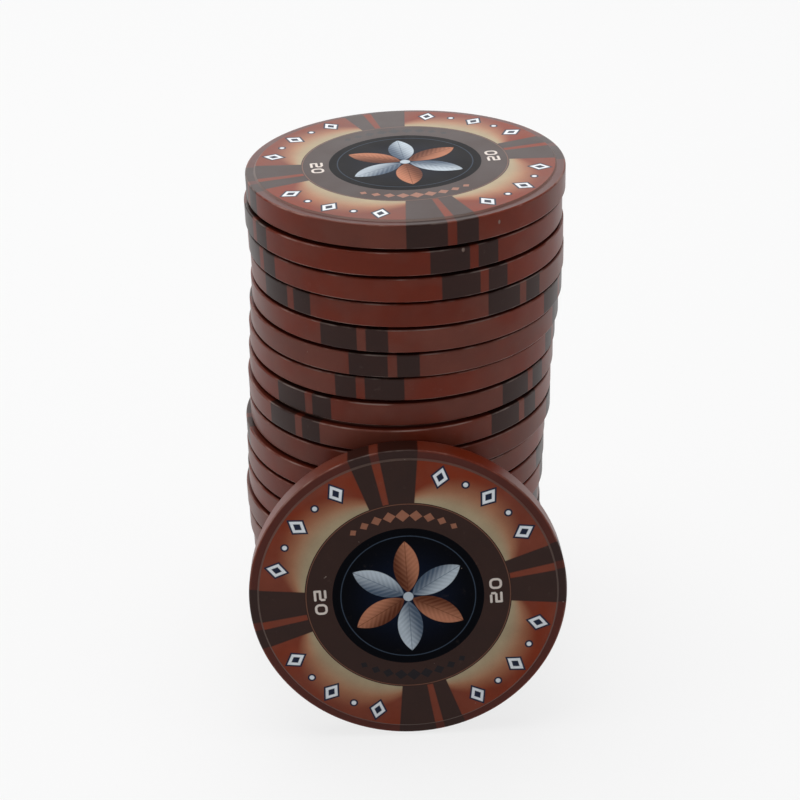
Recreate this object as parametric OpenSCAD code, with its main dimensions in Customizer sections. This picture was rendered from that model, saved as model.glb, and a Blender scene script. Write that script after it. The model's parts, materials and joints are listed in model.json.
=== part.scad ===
// A stack of loose, round gaming chips, with one more chip leaning against the front of the stack.
// Millimetres. The origin is the centre of the bottom chip's underside, +Z is up and -Y is the front.

/* [Chip] */
// Diameter of a chip
chip_d = 39; // [34:0.5:48]
// Thickness of a chip
chip_h = 3.35; // [2.8:0.05:4]
// Radius of the rounded edge between a lip and the rim
edge_r = 0.2; // [0.1:0.05:0.5]
// Width of the lowered lip around each face
lip_w = 1.05; // [0.6:0.05:2]
// Depth of a lip below its face, with a sloping step of the same width between them
lip_drop = 0.2; // [0.05:0.05:0.3]

/* [Stack] */
// Number of chips in the stack
stack_count = 20; // [14:1:30]
// Furthest that a chip stands to the right of the bottom one
sway = 2.6; // [0:0.1:5]
// Furthest that a chip stands forward of the bottom one
drift = 0.8; // [0:0.1:1.5]

/* [Leaning chip] */
// Angle that the chip leans back from upright, in degrees
lean_angle = 6; // [5:0.5:15]
// Angle that the chip is turned about the vertical, in degrees
lean_turn = 1.5; // [0:0.5:5]
// Distance of its foot to the right of the bottom chip's centre
lean_side = 1.6; // [-3:0.1:3]
// Gap between its upper back edge and the stack
lean_gap = 0.1; // [0.05:0.05:0.5]
// Gap between its foot and the surface that the stack stands on
foot_gap = 0.05; // [0.02:0.01:0.2]

/* [Hidden] */
$fn = 128;
copper = [0.52, 0.27, 0.17];
worn_copper = [0.58, 0.31, 0.2];

// Each chip's place to the right and to the back, from the bottom chip up, in shares of the sway and the drift
side_shares = [
    0, 0.04, -0.04, 0.08, 0.06, -0.06, -0.1, 0.06, 0.11, 0.15,
    0.41, 0.42, 0.53, 0.62, 0.75, 0.9, 0.97, 0.93, 0.86, 1
];
depth_shares = [
    0, -0.08, 0.12, -0.06, 0.08, -0.06, 0.05, -0.09, -0.12, -0.15,
    -0.12, -0.15, 0.45, 0.6, 0, -0.25, -0.35, -0.85, -1, -0.95
];

function chip_x(k) = sway * side_shares[(k - 1) % len(side_shares)];
function chip_y(k) = drift * depth_shares[(k - 1) % len(depth_shares)];
function stack_name(k) = str("stack_chip_", k < 10 ? "0" : "", k);

// The leaning chip stands on the round of its lower back edge. At its top, that edge or the face inside it
// meets the stack, whichever stands further back
round_trim = edge_r * (sin(lean_angle) + cos(lean_angle) - 1);
foot_trim = round_trim + lip_drop * sin(lean_angle);
top_trim = min(round_trim + lip_drop * cos(lean_angle), (lip_w + lip_drop) * sin(lean_angle));
lean_reach = chip_d * sin(lean_angle) - top_trim;
lean_rows = min(stack_count, ceil(chip_d * cos(lean_angle) / chip_h));

// How far back a stacked chip's centre lies, square to the leaning chip's turned face
function across(k) = chip_y(k) * cos(lean_turn) - chip_x(k) * sin(lean_turn);

// The front of the rows that the leaning chip covers, and where its foot stands to lean on them
stack_front = min([for (k = [1:lean_rows]) across(k)]) - chip_d / 2;
foot_across = stack_front - lean_gap - lean_reach;
foot_y = (foot_across + lean_side * sin(lean_turn)) / cos(lean_turn);
foot_z = foot_gap - foot_trim;

// Half of a chip's section: a rim with two rounded corners, and a core that stands proud of the lips on both sides
module chip_section() {
    lip_r = chip_d / 2 - lip_w;
    translate([0, lip_drop])
        square([chip_d / 2 - edge_r, chip_h - 2 * lip_drop]);
    translate([0, lip_drop + edge_r])
        square([chip_d / 2, chip_h - 2 * lip_drop - 2 * edge_r]);
    for (z = [lip_drop + edge_r, chip_h - lip_drop - edge_r])
        translate([chip_d / 2 - edge_r, z])
            circle(edge_r);
    polygon([
        [0, 0], [lip_r - lip_drop, 0], [lip_r, lip_drop],
        [lip_r, chip_h - lip_drop], [lip_r - lip_drop, chip_h], [0, chip_h]
    ]);
}

// One blank, lying flat on its lower face
module chip() {
    rotate_extrude()
        chip_section();
}

module stack_chip(k) {
    color(k % 2 == 0 ? copper : worn_copper)
        translate([chip_x(k), chip_y(k), (k - 1) * chip_h])
            chip();
}

module leaning_chip() {
    color(copper)
        translate([lean_side, foot_y, foot_z])
            rotate([-lean_angle, 0, lean_turn])
                translate([0, 0, chip_d / 2])
                    rotate([90, 0, 0])
                        chip();
}

for (k = [1:stack_count])
    stack_chip(k);
leaning_chip();
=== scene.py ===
import json
import math
import bmesh
import bpy
from mathutils import Matrix, Vector


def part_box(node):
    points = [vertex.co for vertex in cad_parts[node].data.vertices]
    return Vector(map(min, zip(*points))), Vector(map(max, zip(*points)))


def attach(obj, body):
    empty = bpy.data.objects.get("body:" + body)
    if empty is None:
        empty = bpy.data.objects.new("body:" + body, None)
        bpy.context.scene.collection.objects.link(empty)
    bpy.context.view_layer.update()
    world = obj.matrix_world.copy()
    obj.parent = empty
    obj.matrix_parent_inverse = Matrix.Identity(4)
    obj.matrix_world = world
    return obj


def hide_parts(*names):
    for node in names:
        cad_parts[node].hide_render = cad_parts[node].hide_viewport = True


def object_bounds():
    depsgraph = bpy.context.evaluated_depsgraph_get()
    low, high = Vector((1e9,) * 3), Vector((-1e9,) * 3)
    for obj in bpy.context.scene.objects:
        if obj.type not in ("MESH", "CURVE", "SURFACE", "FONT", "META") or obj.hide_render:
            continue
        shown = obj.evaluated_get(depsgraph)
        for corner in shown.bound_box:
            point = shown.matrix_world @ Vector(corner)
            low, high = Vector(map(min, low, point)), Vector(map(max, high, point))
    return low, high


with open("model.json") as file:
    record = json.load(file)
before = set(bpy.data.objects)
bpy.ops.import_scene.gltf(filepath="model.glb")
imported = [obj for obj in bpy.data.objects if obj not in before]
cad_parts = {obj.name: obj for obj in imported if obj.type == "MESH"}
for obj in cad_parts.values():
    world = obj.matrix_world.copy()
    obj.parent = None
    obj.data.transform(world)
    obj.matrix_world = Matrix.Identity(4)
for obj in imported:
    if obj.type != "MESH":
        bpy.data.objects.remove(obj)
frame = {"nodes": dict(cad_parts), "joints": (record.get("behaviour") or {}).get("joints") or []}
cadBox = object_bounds()
mm = 0.001
scene = bpy.context.scene
scene.view_settings.view_transform = "Standard"
print("frame loaded:", len(frame["nodes"]), "chips")


# a colour written as six hex digits, as the linear values that the nodes take
def tone(code):
    parts = [int(code[i:i + 2], 16) / 255 for i in (0, 2, 4)]
    return [p / 12.92 if p <= 0.04045 else ((p + 0.055) / 1.055) ** 2.4 for p in parts] + [1.0]


# camera, where the photographer stood
camera = {
    "place": (4.25 * mm, -208.18 * mm, 145.59 * mm),
    "yaw": -0.89,     # degrees to the right of straight ahead
    "pitch": 28.26,   # degrees down
    "roll": -1.89,
    "lens": 81.26,
    "sensor": 36,
    "clip": (0.01, 20),
}


def makeCamera():
    yaw, pitch, roll = (math.radians(camera[key]) for key in ("yaw", "pitch", "roll"))
    ahead = Vector((math.sin(yaw) * math.cos(pitch), math.cos(yaw) * math.cos(pitch), -math.sin(pitch)))
    level = Vector((math.cos(yaw), -math.sin(yaw), 0))
    upright = level.cross(ahead)
    right = level * math.cos(roll) + upright * math.sin(roll)
    up = upright * math.cos(roll) - level * math.sin(roll)
    data = bpy.data.cameras.new("studioCamera")
    data.lens = camera["lens"]
    data.sensor_width = camera["sensor"]
    data.clip_start, data.clip_end = camera["clip"]
    made = bpy.data.objects.new("studioCamera", data)
    scene.collection.objects.link(made)
    turned = Matrix((right, up, -ahead)).transposed().to_4x4()
    made.matrix_world = Matrix.Translation(camera["place"]) @ turned
    scene.camera = made


makeCamera()
print("camera set")


def boxMiddle(node):
    low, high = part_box(node)
    return (low + high) / 2


# sizes of one chip, read off the frame: a raised face, a step down to a lip, and a rounded edge to the rim
tiny = 0.0001 * mm
close = 0.002 * mm
skin = 0.005 * mm    # faces that rest on each other keep a hair of room
firstMiddle = boxMiddle("stack_chip_01")
fromMiddle = [v.co - firstMiddle for v in frame["nodes"]["stack_chip_01"].data.vertices]
section = [(point.xy.length, point.z) for point in fromMiddle]
chipRadius = max(radius for radius, height in section)
halfThick = max(height for radius, height in section) - skin
faceRadius = max(radius for radius, height in section if height > halfThick - close)
lipHeight = max(height for radius, height in section if radius > faceRadius + close)
lipRadii = [radius for radius, height in section
            if height > lipHeight - close and radius > faceRadius + close]
lipInner, lipOuter = min(lipRadii), max(lipRadii)
edgeRound = chipRadius - lipOuter
print(f"chip: {2 * chipRadius / mm:.2f} mm across, {2 * halfThick / mm:.2f} mm thick, "
      f"lip from {lipInner / mm:.2f} to {lipOuter / mm:.2f} mm, {(halfThick - lipHeight) / mm:.2f} mm down")

# the blank, and the radii where its print changes
blank = {
    "segments": 144,
    "edgeSteps": 6,
    "support": 0.03 * mm,         # rings beside a bend that keep the flats flat
    "centreDisc": 9.3 * mm,
    "band": 12.7 * mm,
    "discRings": (0.33, 0.67),    # rings inside the centre disc, in shares of its radius
    "rimRow": 0.4,                # row on a plain rim, in shares of half the thickness
    "knockRows": 6,               # rows above and below the middle of a knock
    "knockColumns": 10,           # columns on each side of it
    "knockStep": 0.0035,          # radians from column to column
}
centreInk, bandInk, fieldInk, rimInk = range(4)


def blankRows(knock):
    disc, band, near = blank["centreDisc"], blank["band"], blank["support"]
    # radius, height and the print between this ring and the one before
    rows = [(disc * share, halfThick, centreInk) for share in blank["discRings"]]
    rows += [(disc, halfThick, centreInk), (band, halfThick, bandInk),
             ((band + faceRadius) / 2, halfThick, fieldInk), (faceRadius - near, halfThick, fieldInk),
             (faceRadius, halfThick, fieldInk), (lipInner, lipHeight, rimInk),
             (lipInner + near, lipHeight, rimInk), (lipOuter - near, lipHeight, rimInk),
             (lipOuter, lipHeight, rimInk)]
    for step in range(1, blank["edgeSteps"] + 1):
        bend = math.pi / 2 * step / blank["edgeSteps"]
        rows.append((lipOuter + edgeRound * math.sin(bend),
                     lipHeight - edgeRound * (1 - math.cos(bend)), rimInk))
    rows.append((chipRadius, lipHeight - edgeRound - near, rimInk))
    heights = [halfThick * blank["rimRow"]]
    if knock:
        count, tall = blank["knockRows"], knock["size"][1]
        heights = [knock["height"] + tall * step / count for step in range(count, -count - 1, -1)]
    rows += [(chipRadius, height, rimInk) for height in heights if near < height < rows[-1][1] - near]
    rows.append((chipRadius, 0, rimInk))
    lower = [(rows[i][0], -rows[i][1], rows[i + 1][2]) for i in reversed(range(len(rows) - 1))]
    return rows + lower


def blankTurns(knock):
    turns = [math.tau * s / blank["segments"] for s in range(blank["segments"])]
    if knock:
        middle, count = math.radians(knock["at"]), blank["knockColumns"]
        turns += [middle + s * blank["knockStep"] for s in range(-count, count + 1)]
    return sorted(turns)


# the print's flat layout: both faces side by side, and the rim in two halves below them
layout = {
    "upperFace": 0.25,
    "lowerFace": 0.75,
    "faceLevel": 0.745,
    "faceReach": 0.245,
    "rimStart": 0.01,
    "rimLong": 0.98,
    "rimLevel": 0.02,
    "rimApart": 0.1,
}


def faceUv(radius, height, angle):
    middle = layout["upperFace"] if height > 0 else layout["lowerFace"]
    reach = layout["faceReach"] * radius / lipOuter
    return middle + reach * math.cos(angle), layout["faceLevel"] + reach * math.sin(angle)


def rimUv(run, column, half):
    level = layout["rimLevel"] + layout["rimApart"] * half
    return (layout["rimStart"] + layout["rimLong"] * column,
            level + run / (math.pi * chipRadius) * layout["rimLong"])


def onRim(inner, outer):
    return max(inner[0], outer[0]) > lipOuter + tiny


# how far round the rim's section each row lies
def rimRuns(rows):
    runs = [0.0]
    for inner, outer in zip(rows, rows[1:]):
        step = math.hypot(outer[0] - inner[0], outer[1] - inner[1])
        runs.append(runs[-1] + (step if onRim(inner, outer) else 0))
    return runs


def addWalls(bm, uv, rows, turns):
    rings = [[bm.verts.new((radius * math.cos(turn), radius * math.sin(turn), height)) for turn in turns]
             for radius, height, ink in rows]
    runs = rimRuns(rows)
    ends = turns + [math.tau]
    for i in range(1, len(rows)):
        rim = onRim(rows[i - 1], rows[i])
        for s in range(len(turns)):
            n = (s + 1) % len(turns)
            face = bm.faces.new((rings[i - 1][s], rings[i][s], rings[i][n], rings[i - 1][n]))
            face.material_index = rows[i][2]
            half = int(turns[s] > math.pi - tiny)
            corners = ((i - 1, s), (i, s), (i, s + 1), (i - 1, s + 1))
            for loop, (row, column) in zip(face.loops, corners):
                if rim:
                    loop[uv].uv = rimUv(runs[row], ends[column] / math.pi - half, half)
                else:
                    loop[uv].uv = faceUv(rows[row][0], rows[row][1], ends[column])
    return rings


def addCaps(bm, uv, rings):
    for ring, height in ((rings[0], halfThick), (rings[-1], -halfThick)):
        hub = bm.verts.new((0, 0, height))
        for s, vert in enumerate(ring):
            other = ring[(s + 1) % len(ring)]
            face = bm.faces.new((vert, other, hub) if height > 0 else (other, vert, hub))
            face.material_index = centreInk
            for loop in face.loops:
                flat = loop.vert.co
                loop[uv].uv = faceUv(flat.xy.length, height, math.atan2(flat.y, flat.x))


# how deep the knock is at a point, as a share of its full depth
def knockShare(point, knock):
    if not knock:
        return 0.0
    aside = (math.atan2(point.y, point.x) - math.radians(knock["at"]) + math.pi) % math.tau - math.pi
    wide, tall = knock["size"]
    off = Vector((aside * chipRadius / wide, (point.z - knock["height"]) / tall,
                  (chipRadius - point.xy.length) / wide))
    return max(0.0, 1 - off.length_squared) ** 2


def makeBlank(name, knock=None):
    bm = bmesh.new()
    uv = bm.loops.layers.uv.new("OFBake")
    bare = bm.verts.layers.float.new("bare")
    addCaps(bm, uv, addWalls(bm, uv, blankRows(knock), blankTurns(knock)))
    for face in bm.faces:
        face.smooth = True
    bm.normal_update()
    for vert in bm.verts:
        share = knockShare(vert.co, knock)
        vert[bare] = share
        if share:
            vert.co -= vert.normal * share * knock["deep"]
    bm.normal_update()
    mesh = bpy.data.meshes.new(name)
    bm.to_mesh(mesh)
    bm.free()
    return mesh


# node helpers
def feed(tree, socket, value):
    if isinstance(value, bpy.types.NodeSocket):
        tree.links.new(value, socket)
    else:
        socket.default_value = value


def calc(tree, operation, *values, clamp=False):
    node = tree.nodes.new("ShaderNodeMath")
    node.operation = operation
    node.use_clamp = clamp
    for socket, value in zip(node.inputs, values):
        feed(tree, socket, value)
    return node.outputs[0]


def lengthOf(tree, u, v):
    square = calc(tree, "ADD", calc(tree, "MULTIPLY", u, u), calc(tree, "MULTIPLY", v, v))
    return calc(tree, "SQRT", square)


def ramp(tree, value, start, end, low=0.0, high=1.0, smooth=True):
    node = tree.nodes.new("ShaderNodeMapRange")
    node.interpolation_type = "SMOOTHSTEP" if smooth else "LINEAR"
    for key, number in (("Value", value), ("From Min", start), ("From Max", end),
                        ("To Min", low), ("To Max", high)):
        feed(tree, node.inputs[key], number)
    return node.outputs["Result"]


def inside(tree, distance, soft=0.05):
    return ramp(tree, distance, -soft, soft, 1.0, 0.0)


def over(tree, mask, under, ink, mode="MIX"):
    node = tree.nodes.new("ShaderNodeMix")
    node.data_type = "RGBA"
    node.blend_type = mode
    feed(tree, node.inputs[0], mask)
    feed(tree, node.inputs[6], under)
    feed(tree, node.inputs[7], ink)
    return node.outputs[2]


def noise(tree, vector, scale, detail=2.0, rough=0.5):
    node = tree.nodes.new("ShaderNodeTexNoise")
    for key, value in (("Vector", vector), ("Scale", scale), ("Detail", detail), ("Roughness", rough)):
        feed(tree, node.inputs[key], value)
    return node.outputs[0]


def newGroup(name, takes, gives):
    tree = bpy.data.node_groups.new(name, "ShaderNodeTree")
    kinds = {"value": "NodeSocketFloat", "vector": "NodeSocketVector", "colour": "NodeSocketColor"}
    for label, kind in takes:
        tree.interface.new_socket(label, in_out="INPUT", socket_type=kinds[kind])
    for label, kind in gives:
        tree.interface.new_socket(label, in_out="OUTPUT", socket_type=kinds[kind])
    start = tree.nodes.new("NodeGroupInput")
    end = tree.nodes.new("NodeGroupOutput")
    return tree, start.outputs, end.inputs


def useGroup(tree, group, **values):
    node = tree.nodes.new("ShaderNodeGroup")
    node.node_tree = group
    for key, value in values.items():
        feed(tree, node.inputs[key], value)
    return node.outputs


# where a point lies on a chip's print, in millimetres and degrees
def makePlanGroup():
    keys = ("Radius", "Turn", "Across", "Along", "Height")
    tree, takes, gives = newGroup(
        "chipPlan", [("Vector", "vector"), ("PrintTurn", "value"), ("FaceUp", "value")],
        [(key, "value") for key in keys])
    spin = tree.nodes.new("ShaderNodeVectorRotate")
    spin.rotation_type = "Z_AXIS"
    feed(tree, spin.inputs["Vector"], takes["Vector"])
    turned = calc(tree, "RADIANS", takes["PrintTurn"])
    feed(tree, spin.inputs["Angle"], calc(tree, "MULTIPLY", turned, -1.0))
    split = tree.nodes.new("ShaderNodeSeparateXYZ")
    feed(tree, split.inputs[0], spin.outputs[0])
    x, y, z = (calc(tree, "MULTIPLY", part, 1 / mm) for part in split.outputs)
    y, z = calc(tree, "MULTIPLY", y, takes["FaceUp"]), calc(tree, "MULTIPLY", z, takes["FaceUp"])
    feed(tree, gives["Radius"], lengthOf(tree, x, y))
    feed(tree, gives["Turn"], calc(tree, "DEGREES", calc(tree, "ARCTAN2", y, x)))
    # the lower face's print reads right from below
    feed(tree, gives["Across"], calc(tree, "MULTIPLY", x, calc(tree, "SIGN", z)))
    feed(tree, gives["Along"], y)
    feed(tree, gives["Height"], calc(tree, "ABSOLUTE", z))
    return tree


bars = {
    "every": 90.0,     # degrees from one pair of bars to the next
    "wide": 14.0,
    "narrow": 7.9,
    "between": 3.2,
    "soft": 0.09,      # half the width of a bar's blurred edge, mm
}
narrowAt = (bars["wide"] + bars["narrow"]) / 2 + bars["between"]
pairEnd = narrowAt + bars["narrow"] / 2
panelAt = (pairEnd + bars["every"] - bars["wide"] / 2) / 2    # middle of the open panel between two pairs
panelHalf = (bars["every"] - bars["wide"] / 2 - pairEnd) / 2


def makeBarGroup():
    tree, takes, gives = newGroup("edgeBars", [("Turn", "value"), ("Radius", "value")], [("Mask", "value")])
    fold = calc(tree, "WRAP", takes["Turn"], bars["every"] / 2, -bars["every"] / 2)
    wide = calc(tree, "SUBTRACT", calc(tree, "ABSOLUTE", fold), bars["wide"] / 2)
    offset = calc(tree, "ABSOLUTE", calc(tree, "SUBTRACT", fold, narrowAt))
    narrow = calc(tree, "SUBTRACT", offset, bars["narrow"] / 2)
    nearest = calc(tree, "RADIANS", calc(tree, "MINIMUM", wide, narrow))
    arc = calc(tree, "MULTIPLY", nearest, takes["Radius"])
    feed(tree, gives["Mask"], inside(tree, arc, bars["soft"]))
    return tree


# how far a point lies from a box with rounded corners, less than nothing inside it
def makeBoxGroup():
    keys = ("Right", "Up", "AtRight", "AtUp", "HalfWide", "HalfTall", "Round")
    tree, takes, gives = newGroup("strokeBox", [(key, "value") for key in keys], [("Distance", "value")])
    u = calc(tree, "ABSOLUTE", calc(tree, "SUBTRACT", takes["Right"], takes["AtRight"]))
    v = calc(tree, "ABSOLUTE", calc(tree, "SUBTRACT", takes["Up"], takes["AtUp"]))
    u = calc(tree, "SUBTRACT", u, calc(tree, "SUBTRACT", takes["HalfWide"], takes["Round"]))
    v = calc(tree, "SUBTRACT", v, calc(tree, "SUBTRACT", takes["HalfTall"], takes["Round"]))
    away = lengthOf(tree, calc(tree, "MAXIMUM", u, 0.0), calc(tree, "MAXIMUM", v, 0.0))
    within = calc(tree, "MINIMUM", calc(tree, "MAXIMUM", u, v), 0.0)
    feed(tree, gives["Distance"], calc(tree, "SUBTRACT", calc(tree, "ADD", away, within), takes["Round"]))
    return tree


# wear, unevenness and a painted edge highlight that every print shares. A noise is given by its scale to the
# millimetre, its detail and its roughness, and a span by the values of a noise where the effect begins and is
# full
wear = {
    "seedSteps": (17.3, 9.1, 41.7),    # mm between two chips' places in the noises
    "dye": (0.085, 3.0, 0.55),         # where the copper dye took redder
    "dyeSpan": (0.4, 0.64),
    "mottle": (0.24, 3.0, 0.55),
    "mottleSpan": (0.25, 0.75),
    "mottleShade": 0.12,
    "mottleRough": (-0.04, 0.05),
    "grain": (5.5, 2.0, 0.6),
    "grainSpan": (0.2, 0.8),
    "grainShade": 0.045,
    "rub": (0.75, 6.0, 0.72),
    "rubSpan": (0.6, 0.78),
    "rubPale": 0.05,
    "rubRough": 0.1,
    "specks": (1.9, 0.5),
    "speckSpan": (0.845, 0.88),
    "speckPale": 0.3,
    "speckDeep": 0.6,
    # pale rounded edges: partly wear, partly a painted highlight where the edge would catch the light
    "wearHighlightSpan": (0.42, 0.68),
    "wearHighlightShare": (0.02, 0.42),
    # pale colour for rubbed spots and specks, and for the edges' wear and painted highlight
    "paleWearAndHighlight": tone("b9a79d"),
    "pebble": 0.25,
    "pebbleDeep": 0.02 * mm,
    "coatRough": 0.32,
    "chipTone": 0.06,                  # how much lighter or darker one chip is than another
    "chipSwing": 2.4,
}


# where a point lies in the noises, in millimetres, with each chip in a place of its own
def noisePlace(tree, takes):
    size = tree.nodes.new("ShaderNodeVectorMath")
    size.operation = "SCALE"
    feed(tree, size.inputs[0], takes["Vector"])
    feed(tree, size.inputs["Scale"], 1 / mm)
    away = tree.nodes.new("ShaderNodeCombineXYZ")
    for socket, step in zip(away.inputs, wear["seedSteps"]):
        feed(tree, socket, calc(tree, "MULTIPLY", takes["Seed"], step))
    moved = tree.nodes.new("ShaderNodeVectorMath")
    feed(tree, moved.inputs[0], size.outputs[0])
    feed(tree, moved.inputs[1], away.outputs[0])
    return moved.outputs[0]


def makePatchGroup():
    tree, takes, gives = newGroup("dyePatches", [("Vector", "vector"), ("Seed", "value")],
                                  [("Mask", "value")])
    broad = noise(tree, noisePlace(tree, takes), *wear["dye"])
    feed(tree, gives["Mask"], ramp(tree, broad, *wear["dyeSpan"]))
    return tree


# mottled ink, rubbed spots, pale edges that are partly wear and partly a painted highlight, and a fine pebble
def makeFinishGroup():
    tree, takes, gives = newGroup(
        "ceramicFinish",
        [("Vector", "vector"), ("Seed", "value"), ("Colour", "colour"), ("Edge", "value"),
         ("Gloss", "value"), ("Tone", "value")],
        [("Colour", "colour"), ("Roughness", "value"), ("Height", "value")])
    place = noisePlace(tree, takes)
    mottle = noise(tree, place, *wear["mottle"])
    grain = noise(tree, place, *wear["grain"])
    rubbed = ramp(tree, noise(tree, place, *wear["rub"]), *wear["rubSpan"])
    specks = ramp(tree, noise(tree, place, *wear["specks"]), *wear["speckSpan"])
    swing = wear["mottleShade"]
    shade = ramp(tree, mottle, *wear["mottleSpan"], 1 - swing, 1 + swing, False)
    swing = wear["grainShade"]
    shade = calc(tree, "ADD", shade, ramp(tree, grain, *wear["grainSpan"], -swing, swing, False))
    shade = calc(tree, "ADD", shade, takes["Tone"])
    grey = tree.nodes.new("ShaderNodeCombineColor")
    for socket in grey.inputs:
        feed(tree, socket, shade)
    colour = over(tree, 1.0, takes["Colour"], grey.outputs[0], "MULTIPLY")
    # the rounded edge paled, partly as wear and partly as a painted highlight
    wearAndHighlight = calc(tree, "MULTIPLY", takes["Edge"], ramp(tree, mottle, *wear["wearHighlightSpan"], *wear["wearHighlightShare"]))
    pale = calc(tree, "ADD", calc(tree, "MULTIPLY", rubbed, wear["rubPale"]),
                calc(tree, "MULTIPLY", specks, wear["speckPale"]))
    colour = over(tree, calc(tree, "ADD", wearAndHighlight, pale, clamp=True), colour, wear["paleWearAndHighlight"])
    uneven = ramp(tree, mottle, *wear["mottleSpan"], *wear["mottleRough"], False)
    rough = calc(tree, "ADD", takes["Gloss"], uneven)
    rough = calc(tree, "ADD", rough, calc(tree, "MULTIPLY", rubbed, wear["rubRough"]))
    feed(tree, gives["Colour"], colour)
    feed(tree, gives["Roughness"], rough)
    pits = calc(tree, "MULTIPLY", specks, wear["speckDeep"])
    feed(tree, gives["Height"], calc(tree, "SUBTRACT", grain, pits))
    return tree


planGroup = makePlanGroup()
barGroup = makeBarGroup()
boxGroup = makeBoxGroup()
patchGroup = makePatchGroup()
finishGroup = makeFinishGroup()
print("shared node groups built")


def chipValue(tree, key):
    node = tree.nodes.new("ShaderNodeAttribute")
    node.attribute_type = "OBJECT"
    node.attribute_name = key
    return node.outputs["Fac"]


def chipPlace(tree):
    return tree.nodes.new("ShaderNodeTexCoord").outputs["Object"]


# the share of the redder ink, in patches and all over the redder chips
def redShare(tree):
    patches = useGroup(tree, patchGroup, Vector=chipPlace(tree), Seed=chipValue(tree, "wearSeed"))["Mask"]
    return calc(tree, "ADD", patches, chipValue(tree, "inkRed"), clamp=True)


# one printed surface: draw gives its ink, how pale its edges are as wear and painted highlight, and how thick
# its clear coat is
def makePrint(name, settings, draw):
    material = bpy.data.materials.new(name)
    material.use_nodes = True
    tree = material.node_tree
    shader = tree.nodes["Principled BSDF"]
    where = chipPlace(tree)
    plan = useGroup(tree, planGroup, Vector=where, PrintTurn=chipValue(tree, "printTurn"),
                    FaceUp=chipValue(tree, "faceUp"))
    ink, edge, coat = draw(tree, plan)
    finish = useGroup(tree, finishGroup, Vector=where, Seed=chipValue(tree, "wearSeed"), Colour=ink,
                      Edge=edge, Gloss=settings["gloss"], Tone=chipValue(tree, "inkTone"))
    bump = tree.nodes.new("ShaderNodeBump")
    bump.inputs["Strength"].default_value = wear["pebble"]
    bump.inputs["Distance"].default_value = wear["pebbleDeep"]
    tree.links.new(finish["Height"], bump.inputs["Height"])
    tree.links.new(finish["Colour"], shader.inputs["Base Color"])
    tree.links.new(finish["Roughness"], shader.inputs["Roughness"])
    tree.links.new(bump.outputs["Normal"], shader.inputs["Normal"])
    feed(tree, shader.inputs["Coat Weight"], coat)
    shader.inputs["Coat Roughness"].default_value = wear["coatRough"]
    shader.inputs["Specular IOR Level"].default_value = settings["shine"]
    return material


rimPrint = {
    "gloss": 0.34,
    "shine": 0.18,
    "ink": tone("6c3629"),
    "redInk": tone("6e230b"),
    "lipInk": tone("501d12"),
    "lipBlend": 0.1,              # mm on both sides of the lip's outer edge where its ink changes
    "barInk": tone("2a1510"),
    "barShare": 0.94,
    "bare": tone("8d776c"),       # the blank under the print, where the edge is knocked
    "bareSpan": (0.1, 0.85),
    "stepHighlight": tone("a08a7e"),    # painted highlight: paler where the raised face steps down to the lip, which also lightens the step's shadow
    "stepHighlightBlend": (0.05, -0.02),   # mm outside the foot of the step where the painted highlight begins and is full
    "stepHighlightShare": 0.2,
    "wearHighlightShort": 0.06,            # mm short of the outermost line where the pale edge, wear and painted highlight, is full
}


def drawRim(tree, plan):
    radius, height = plan["Radius"], plan["Height"]
    inner, outer, blend = lipInner / mm, lipOuter / mm, rimPrint["lipBlend"]
    ink = over(tree, redShare(tree), rimPrint["ink"], rimPrint["redInk"])
    ink = over(tree, ramp(tree, radius, outer - blend, outer + blend), rimPrint["lipInk"], ink)
    mask = useGroup(tree, barGroup, Turn=plan["Turn"], Radius=radius)["Mask"]
    ink = over(tree, calc(tree, "MULTIPLY", mask, rimPrint["barShare"]), ink, rimPrint["barInk"])
    # a painted highlight along the foot of the step down to the lip
    begin, full = rimPrint["stepHighlightBlend"]
    step = ramp(tree, radius, inner + begin, inner + full)
    ink = over(tree, calc(tree, "MULTIPLY", step, rimPrint["stepHighlightShare"]), ink, rimPrint["stepHighlight"])
    # the rounded edge, where it is paled as wear and as a painted highlight
    outward = ramp(tree, radius, outer, chipRadius / mm - rimPrint["wearHighlightShort"])
    upward = ramp(tree, height, (lipHeight - edgeRound) / mm, lipHeight / mm - rimPrint["wearHighlightShort"])
    bare = tree.nodes.new("ShaderNodeAttribute")
    bare.attribute_name = "bare"
    ink = over(tree, ramp(tree, bare.outputs["Fac"], *rimPrint["bareSpan"]), ink, rimPrint["bare"])
    return ink, calc(tree, "MULTIPLY", outward, upward), 0.0


fieldPrint = {
    "gloss": 0.36,
    "shine": 0.09,
    "copper": tone("793c2c"),
    "redCopper": tone("7e3018"),
    "tan": tone("a9785a"),
    "tanSpan": (1.0, 0.25),      # shares of the glow's reach where the tan begins and is full
    "cream": tone("a8977a"),
    "creamSpan": (0.55, 0.02),
    "barInk": tone("301a14"),
    "barCoat": 0.14,             # the dark ink lies thicker and shines more
    "glowReach": 5.4,            # how far the glow spreads from the band in the middle of a panel, mm
    "glowHalf": 33.0,            # degrees from a panel's middle to where the glow is least
    "glowLoss": 0.7,             # share of its reach that the glow loses there
    "panelBlend": (0.4, -0.1),   # degrees outside a panel's end where the glow begins and is full
    "marks": 5,                  # lozenges and dots in a panel
    "markAt": 16.45,             # radius of their row, mm
    "markStep": 11.2,            # degrees from mark to mark
    "lozenge": (1.2, 1.62),
    "dot": 0.52,
    "outline": 0.22,
    "whiteLine": 0.36,
    "white": tone("e3e6ea"),
    "navy": tone("1c2338"),
}


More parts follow.
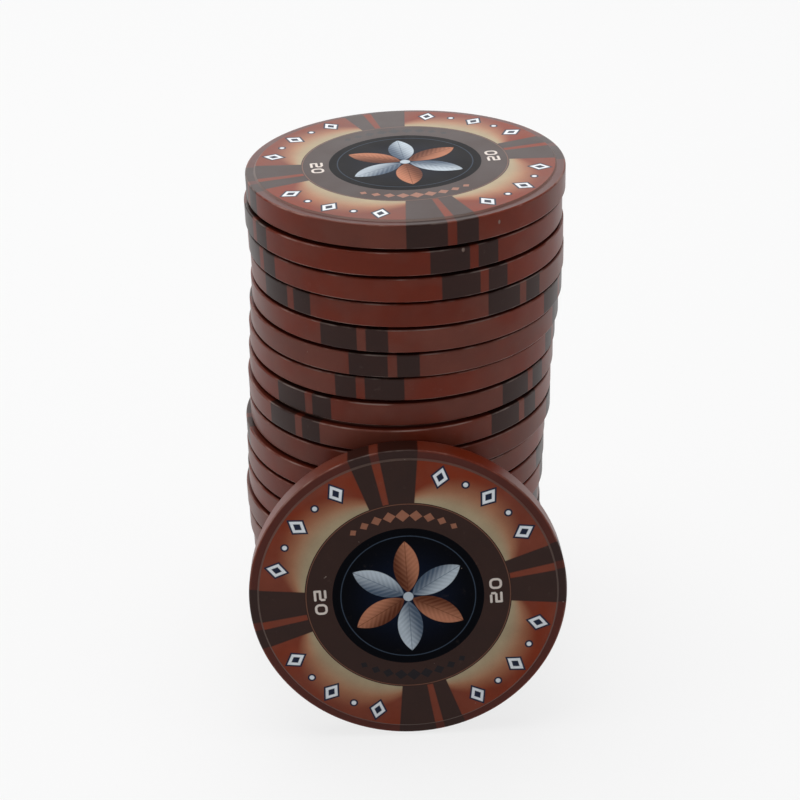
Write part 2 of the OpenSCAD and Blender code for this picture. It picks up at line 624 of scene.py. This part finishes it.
# each mark's place in a row about the panel's middle, and how far a point lies from its edge
def panelMarks(tree, fold, radius):
    cell = calc(tree, "ROUND", calc(tree, "DIVIDE", fold, fieldPrint["markStep"]))
    swing = calc(tree, "SUBTRACT", fold, calc(tree, "MULTIPLY", cell, fieldPrint["markStep"]))
    u = calc(tree, "ABSOLUTE", calc(tree, "MULTIPLY", calc(tree, "RADIANS", swing), radius))
    v = calc(tree, "ABSOLUTE", calc(tree, "SUBTRACT", radius, fieldPrint["markAt"]))
    wide, tall = fieldPrint["lozenge"]
    slope = calc(tree, "ADD", calc(tree, "DIVIDE", u, wide), calc(tree, "DIVIDE", v, tall))
    lozenge = calc(tree, "MULTIPLY", calc(tree, "SUBTRACT", slope, 1.0), wide * tall / math.hypot(wide, tall))
    dot = calc(tree, "SUBTRACT", lengthOf(tree, u, v), fieldPrint["dot"])
    order = calc(tree, "ABSOLUTE", cell)
    odd = calc(tree, "MODULO", order, 2.0)
    pick = calc(tree, "ADD", calc(tree, "MULTIPLY", dot, odd),
                calc(tree, "MULTIPLY", lozenge, calc(tree, "SUBTRACT", 1.0, odd)))
    beyond = calc(tree, "GREATER_THAN", order, fieldPrint["marks"] / 2)
    return calc(tree, "ADD", pick, beyond)


def drawField(tree, plan):
    radius, turn = plan["Radius"], plan["Turn"]
    fold = calc(tree, "WRAP", calc(tree, "SUBTRACT", turn, panelAt), bars["every"] / 2, -bars["every"] / 2)
    aside = calc(tree, "ABSOLUTE", fold)
    bend = calc(tree, "POWER", calc(tree, "DIVIDE", aside, fieldPrint["glowHalf"]), 2.0)
    loss = calc(tree, "MULTIPLY", calc(tree, "MINIMUM", bend, 1.0), fieldPrint["glowLoss"])
    reach = calc(tree, "MULTIPLY", calc(tree, "SUBTRACT", 1.0, loss), fieldPrint["glowReach"])
    out = calc(tree, "DIVIDE", calc(tree, "SUBTRACT", radius, blank["band"] / mm), reach)
    begin, full = fieldPrint["panelBlend"]
    panel = ramp(tree, aside, panelHalf + begin, panelHalf + full)
    ink = over(tree, redShare(tree), fieldPrint["copper"], fieldPrint["redCopper"])
    for glow, span in (("tan", "tanSpan"), ("cream", "creamSpan")):
        spread = calc(tree, "MULTIPLY", ramp(tree, out, *fieldPrint[span]), panel)
        ink = over(tree, spread, ink, fieldPrint[glow])
    mask = useGroup(tree, barGroup, Turn=turn, Radius=radius)["Mask"]
    ink = over(tree, mask, ink, fieldPrint["barInk"])
    mark = panelMarks(tree, fold, radius)
    ink = over(tree, inside(tree, mark), ink, fieldPrint["navy"])
    ink = over(tree, inside(tree, calc(tree, "ADD", mark, fieldPrint["outline"])), ink, fieldPrint["white"])
    heart = calc(tree, "ADD", mark, fieldPrint["outline"] + fieldPrint["whiteLine"])
    ink = over(tree, inside(tree, heart), ink, fieldPrint["navy"])
    return ink, 0.0, calc(tree, "MULTIPLY", mask, fieldPrint["barCoat"])


bandPrint = {
    "gloss": 0.36,
    "shine": 0.09,
    "ink": tone("301a14"),
    "coat": 0.11,
    "line": tone("8a5a45"),
    "lineIn": 0.18,            # mm from the band's edge to the middle of the line
    "lineHalf": 0.05,
    "lineShare": 0.6,
    "beads": tone("93604a"),
    "darkBeads": tone("150f14"),
    "beadsAside": 4,           # beads on each side of a row's middle one
    "beadSizes": (0.8, 0.35),  # mm, from the middle one to one past the last
    "beadSquash": 0.9,
    "beadAt": 11.0,
    "beadStep": 8.4,
    "digits": tone("d9cdc4"),
    "digitAt": 10.75,          # radius of the middle of the numerals, mm
    "digitHalf": (0.74, 0.78),
    "digitApart": 0.95,
    "noughtRound": 0.46,
    "stroke": 0.15,            # half the width of a stroke, mm
    "soft": 0.04,              # half the width of a numeral's blurred edge, mm
}


# how far a point lies from a bead's edge, in a row on each of two sides
def bandBeads(tree, radius, across, along):
    sweep = calc(tree, "DEGREES", calc(tree, "ARCTAN2", along, calc(tree, "ABSOLUTE", across)))
    cell = calc(tree, "ROUND", calc(tree, "DIVIDE", sweep, bandPrint["beadStep"]))
    swing = calc(tree, "SUBTRACT", sweep, calc(tree, "MULTIPLY", cell, bandPrint["beadStep"]))
    u = calc(tree, "ABSOLUTE", calc(tree, "MULTIPLY", calc(tree, "RADIANS", swing), radius))
    v = calc(tree, "ABSOLUTE", calc(tree, "SUBTRACT", radius, bandPrint["beadAt"]))
    order, last = calc(tree, "ABSOLUTE", cell), bandPrint["beadsAside"]
    size = ramp(tree, order, 0.0, last + 1.0, *bandPrint["beadSizes"], False)
    flat = calc(tree, "MULTIPLY", u, bandPrint["beadSquash"])
    bead = calc(tree, "SUBTRACT", calc(tree, "ADD", flat, v), size)
    return calc(tree, "ADD", bead, calc(tree, "GREATER_THAN", order, last + 0.5))


# how far a point lies from the numerals, which stand with their tops to the middle on the other two sides
def bandDigits(tree, across, along):
    flip = calc(tree, "SIGN", along)
    right = calc(tree, "MULTIPLY", calc(tree, "MULTIPLY", across, flip), -1.0)
    up = calc(tree, "SUBTRACT", bandPrint["digitAt"], calc(tree, "ABSOLUTE", along))
    halfWide, halfTall = bandPrint["digitHalf"]
    stroke, apart = bandPrint["stroke"], bandPrint["digitApart"]
    midWide, level = halfWide - stroke, halfTall - stroke
    nought = useGroup(tree, boxGroup, Right=right, Up=up, AtRight=apart, HalfWide=midWide, HalfTall=level,
                      Round=bandPrint["noughtRound"])["Distance"]
    digits = calc(tree, "SUBTRACT", calc(tree, "ABSOLUTE", nought), stroke)
    # the two: three level strokes, then the upright ones between them
    strokes = [(-stroke, level, midWide, stroke), (0.0, 0.0, midWide, stroke),
               (0.0, -level, halfWide, stroke), (midWide, level / 2, stroke, level / 2),
               (-midWide, -level / 2, stroke, level / 2 + stroke)]
    for atRight, atUp, strokeWide, strokeTall in strokes:
        part = useGroup(tree, boxGroup, Right=right, Up=up, AtRight=atRight - apart, AtUp=atUp,
                        HalfWide=strokeWide, HalfTall=strokeTall, Round=stroke)
        digits = calc(tree, "MINIMUM", digits, part["Distance"])
    return digits


def drawBand(tree, plan):
    radius, across, along = plan["Radius"], plan["Across"], plan["Along"]
    front = calc(tree, "GREATER_THAN", across, 0.0)
    beads = over(tree, front, bandPrint["darkBeads"], bandPrint["beads"])
    ink = over(tree, inside(tree, bandBeads(tree, radius, across, along)), bandPrint["ink"], beads)
    digits = inside(tree, bandDigits(tree, across, along), bandPrint["soft"])
    ink = over(tree, digits, ink, bandPrint["digits"])
    lineAt = blank["band"] / mm - bandPrint["lineIn"]
    off = calc(tree, "ABSOLUTE", calc(tree, "SUBTRACT", radius, lineAt))
    line = inside(tree, calc(tree, "SUBTRACT", off, bandPrint["lineHalf"]), bandPrint["soft"])
    ink = over(tree, calc(tree, "MULTIPLY", line, bandPrint["lineShare"]), ink, bandPrint["line"])
    return ink, 0.0, bandPrint["coat"]


centrePrint = {
    "gloss": 0.34,
    "shine": 0.02,
    "ink": tone("07080d"),
    "haze": tone("10192c"),
    "hazeReach": 8.5,
    "petals": 6,
    "petalStart": 0.55,
    "petalLong": 7.0,
    "petalHalf": 1.55,      # half the width of a petal, mm
    "silver": tone("b9c3cc"),
    "steel": tone("4d5b6d"),
    "copper": tone("b87a5e"),
    "copperDark": tone("5c3222"),
    "fadeHalf": 1.6,        # mm on both sides of a petal's middle where it goes from light to dark
    "fadeSlant": -0.3,
    "hatchClose": 9.0,      # radians of the hatch to the millimetre
    "hatchShare": 0.09,
    "ribHalf": 0.05,
    "ribShare": 0.6,
    "ringAt": 8.25,
    "ringHalf": 0.06,
    "ringShare": 0.55,
    "hub": 0.62,
}


def drawCentre(tree, plan):
    radius = plan["Radius"]
    turn = calc(tree, "DEGREES", calc(tree, "ARCTAN2", plan["Along"], plan["Across"]))
    step = 360.0 / centrePrint["petals"]
    haze = ramp(tree, radius, centrePrint["hazeReach"], 0.0)
    ink = over(tree, haze, centrePrint["ink"], centrePrint["haze"])
    cell = calc(tree, "ROUND", calc(tree, "DIVIDE", turn, step))
    swing = calc(tree, "RADIANS", calc(tree, "SUBTRACT", turn, calc(tree, "MULTIPLY", cell, step)))
    out = calc(tree, "MULTIPLY", radius, calc(tree, "COSINE", swing))
    side = calc(tree, "MULTIPLY", radius, calc(tree, "SINE", swing))
    # a petal is where two round discs overlap
    longHalf, half = centrePrint["petalLong"] / 2, centrePrint["petalHalf"]
    big = (longHalf ** 2 + half ** 2) / (2 * half)
    along = calc(tree, "SUBTRACT", out, longHalf + centrePrint["petalStart"])
    shift = calc(tree, "ADD", calc(tree, "ABSOLUTE", side), big - half)
    petal = calc(tree, "SUBTRACT", lengthOf(tree, along, shift), big)
    odd = calc(tree, "MODULO", calc(tree, "ABSOLUTE", cell), 2.0)
    light = over(tree, odd, centrePrint["copper"], centrePrint["silver"])
    dark = over(tree, odd, centrePrint["copperDark"], centrePrint["steel"])
    slant = calc(tree, "ADD", side, calc(tree, "MULTIPLY", along, centrePrint["fadeSlant"]))
    fade = ramp(tree, slant, -centrePrint["fadeHalf"], centrePrint["fadeHalf"])
    weave = calc(tree, "MULTIPLY", calc(tree, "SUBTRACT", along, shift), centrePrint["hatchClose"])
    hatch = calc(tree, "MULTIPLY", calc(tree, "SINE", weave), centrePrint["hatchShare"])
    leaf = over(tree, calc(tree, "ADD", fade, hatch, clamp=True), light, dark)
    rib = inside(tree, calc(tree, "SUBTRACT", calc(tree, "ABSOLUTE", side), centrePrint["ribHalf"]))
    leaf = over(tree, calc(tree, "MULTIPLY", rib, centrePrint["ribShare"]), leaf, dark)
    ink = over(tree, inside(tree, petal), ink, leaf)
    off = calc(tree, "ABSOLUTE", calc(tree, "SUBTRACT", radius, centrePrint["ringAt"]))
    ring = inside(tree, calc(tree, "SUBTRACT", off, centrePrint["ringHalf"]))
    ink = over(tree, calc(tree, "MULTIPLY", ring, centrePrint["ringShare"]), ink, centrePrint["steel"])
    hub = calc(tree, "SUBTRACT", radius, centrePrint["hub"])
    ink = over(tree, inside(tree, hub), ink, centrePrint["silver"])
    return ink, 0.0, 0.0


# in the order of centreInk, bandInk, fieldInk and rimInk
prints = [makePrint("centrePrint", centrePrint, drawCentre), makePrint("bandPrint", bandPrint, drawBand),
          makePrint("fieldPrint", fieldPrint, drawField), makePrint("rimPrint", rimPrint, drawRim)]
# knocks on the edges: degrees round from the right, height above the chip's middle, half its width and
# height, and depth
knocks = {
    "stackChip19": {"at": 290.6, "height": 1.1 * mm, "size": (0.32 * mm, 0.44 * mm), "deep": 0.12 * mm},
    "stackChip20": {"at": 303.3, "height": 0.25 * mm, "size": (0.24 * mm, 0.42 * mm), "deep": 0.06 * mm},
}
chipMeshes = {name: makeBlank(name, knock) for name, knock in knocks.items()}
chipMeshes["plain"] = makeBlank("chipBlank")
for mesh in chipMeshes.values():
    for material in prints:
        mesh.materials.append(material)
print("chip blanks and their prints made:", len(chipMeshes["plain"].polygons), "faces on a plain one")


def addChip(name, node, matrix, turn, faceUp, seed, red=0.0):
    piece = bpy.data.objects.new(name, chipMeshes.get(name, chipMeshes["plain"]))
    scene.collection.objects.link(piece)
    piece.matrix_world = matrix
    piece["printTurn"] = float(turn)
    piece["faceUp"] = 1.0 if faceUp else -1.0
    piece["wearSeed"] = seed
    piece["inkTone"] = wear["chipTone"] * math.sin(wear["chipSwing"] * seed)
    piece["inkRed"] = red
    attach(piece, node)
    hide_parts(node)


# the stack: which way each chip's first wide bar points, degrees round from the right, bottom chip first
stack = {
    "turns": [240, 215, 268, 232, 205, 258, 250, 262, 255, 268, 260,
              222.1, 226.3, 263.8, 257.3, 245.5, 216, 289.3, 286, 277.1],
    "upsideDown": [14],
    "redder": {18: 0.6, 19: 0.6},    # share of the redder ink all over these chips
    "seedStep": 1.37,
}


def buildStack():
    for k, turn in enumerate(stack["turns"], 1):
        node = f"stack_chip_{k:02d}"
        addChip(f"stackChip{k:02d}", node, Matrix.Translation(boxMiddle(node)), turn,
                k not in stack["upsideDown"], k * stack["seedStep"], stack["redder"].get(k, 0.0))
    print("stack built:", len(stack["turns"]), "chips")


leaning = {
    "turn": 92,     # degrees that its first wide bar stands round from the right
    "seed": 50.3,
}


def buildLeaningChip():
    tip = next(joint for joint in frame["joints"] if joint["child"] == "leaning_chip")
    aside = math.atan2(tip["axis"][1], tip["axis"][0])
    back = math.radians(max(tip["range_deg"]))    # it tips up until it stands upright
    matrix = Matrix.Translation(boxMiddle("leaning_chip")) @ Matrix.Rotation(aside, 4, "Z")
    matrix = matrix @ Matrix.Rotation(math.pi / 2 - back, 4, "X")
    addChip("leaningChip", "leaning_chip", matrix, leaning["turn"], True, leaning["seed"])
    print("leaning chip built")


buildStack()
buildLeaningChip()

# a pale table, and soft light mostly from above
studio = {
    "floorReach": 4.0,
    "floorDrop": 0.02 * mm,
    "floorTone": tone("e0e0e0"),
    "floorRough": 0.9,
    "floorGlow": 0.78,       # share of plain white that the eye gets from the floor, the rest is lit
    "sky": (0.9, 0.95, 1.0, 1.0),
    "skyLevel": 0.33,
    "aim": (0, 0, 0.03),
}
lamps = {
    "overhead": {"place": (-0.06, 0.1, 0.62), "size": (0.5, 0.5), "watts": 3.0,
                 "colour": (1.0, 0.99, 0.97)},
    "behind": {"place": (-0.1, 0.9, 0.42), "size": (0.9, 0.5), "watts": 2.8,
               "colour": (0.97, 0.94, 0.93)},
    "left": {"place": (-0.75, -0.2, 0.28), "size": (0.35, 0.35), "watts": 0.6,
             "colour": (1.0, 0.98, 0.97)},
    "right": {"place": (0.75, -0.16, 0.28), "size": (0.35, 0.35), "watts": 0.5,
              "colour": (1.0, 0.98, 0.97)},
}


def makeFloor():
    reach = studio["floorReach"]
    mesh = bpy.data.meshes.new("floor")
    mesh.from_pydata([(-reach, -reach, 0), (reach, -reach, 0), (reach, reach, 0), (-reach, reach, 0)], [],
                     [(0, 1, 2, 3)])
    floor = bpy.data.objects.new("floor", mesh)
    floor.location.z = cadBox[0].z - studio["floorDrop"]
    scene.collection.objects.link(floor)
    material = bpy.data.materials.new("paleFloor")
    material.use_nodes = True
    tree = material.node_tree
    shader = tree.nodes["Principled BSDF"]
    shader.inputs["Base Color"].default_value = studio["floorTone"]
    shader.inputs["Roughness"].default_value = studio["floorRough"]
    shader.inputs["Specular IOR Level"].default_value = 0.0
    light = tree.nodes.new("ShaderNodeLightPath").outputs
    seen = calc(tree, "MAXIMUM", light["Is Camera Ray"],
                calc(tree, "MAXIMUM", light["Is Glossy Ray"], light["Is Transmission Ray"]))
    glow = tree.nodes.new("ShaderNodeEmission")
    mix = tree.nodes.new("ShaderNodeMixShader")
    feed(tree, mix.inputs[0], calc(tree, "MULTIPLY", seen, studio["floorGlow"]))
    tree.links.new(shader.outputs[0], mix.inputs[1])
    tree.links.new(glow.outputs[0], mix.inputs[2])
    tree.links.new(mix.outputs[0], tree.nodes["Material Output"].inputs["Surface"])
    mesh.materials.append(material)


def makeLights():
    world = bpy.data.worlds.new("softRoom")
    scene.world = world
    world.use_nodes = True
    sky = world.node_tree.nodes["Background"]
    sky.inputs["Color"].default_value = studio["sky"]
    sky.inputs["Strength"].default_value = studio["skyLevel"]
    for name, lamp in lamps.items():
        data = bpy.data.lights.new(name, "AREA")
        data.energy = lamp["watts"]
        data.shape = "RECTANGLE"
        data.size, data.size_y = lamp["size"]
        data.color = lamp["colour"]
        made = bpy.data.objects.new(name, data)
        scene.collection.objects.link(made)
        made.location = lamp["place"]
        aim = Vector(studio["aim"]) - made.location
        made.rotation_euler = aim.to_track_quat("-Z", "Y").to_euler()


makeFloor()
makeLights()
print("floor and lights set")

bpy.context.view_layer.update()
